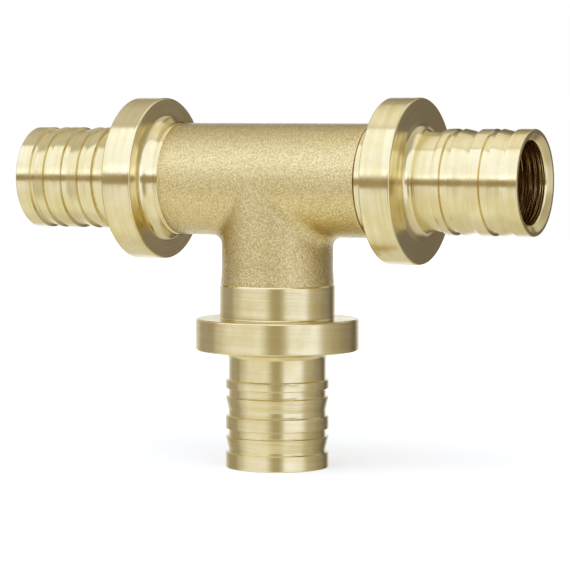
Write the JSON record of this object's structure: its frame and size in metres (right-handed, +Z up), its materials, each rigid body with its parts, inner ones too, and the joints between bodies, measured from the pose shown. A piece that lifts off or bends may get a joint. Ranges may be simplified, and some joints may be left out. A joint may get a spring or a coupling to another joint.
{
  "type": "pex tee",
  "caption": "Equal tee of brass with ribbed spigots and round collars, joining plastic pipes under pressed sleeves.",
  "frame": {"origin": "where the run's bore axis and the branch's bore axis cross", "axes": "+X along the run, -Z out of the branch, +Z up when it stands on the branch's end"},
  "size_m": [0.0922, 0.0274, 0.0622],
  "materials": {
    "brass": "satin"
  },
  "bodies": {
    "root": {"tee_body": "brass"}
  },
  "joints": []
}
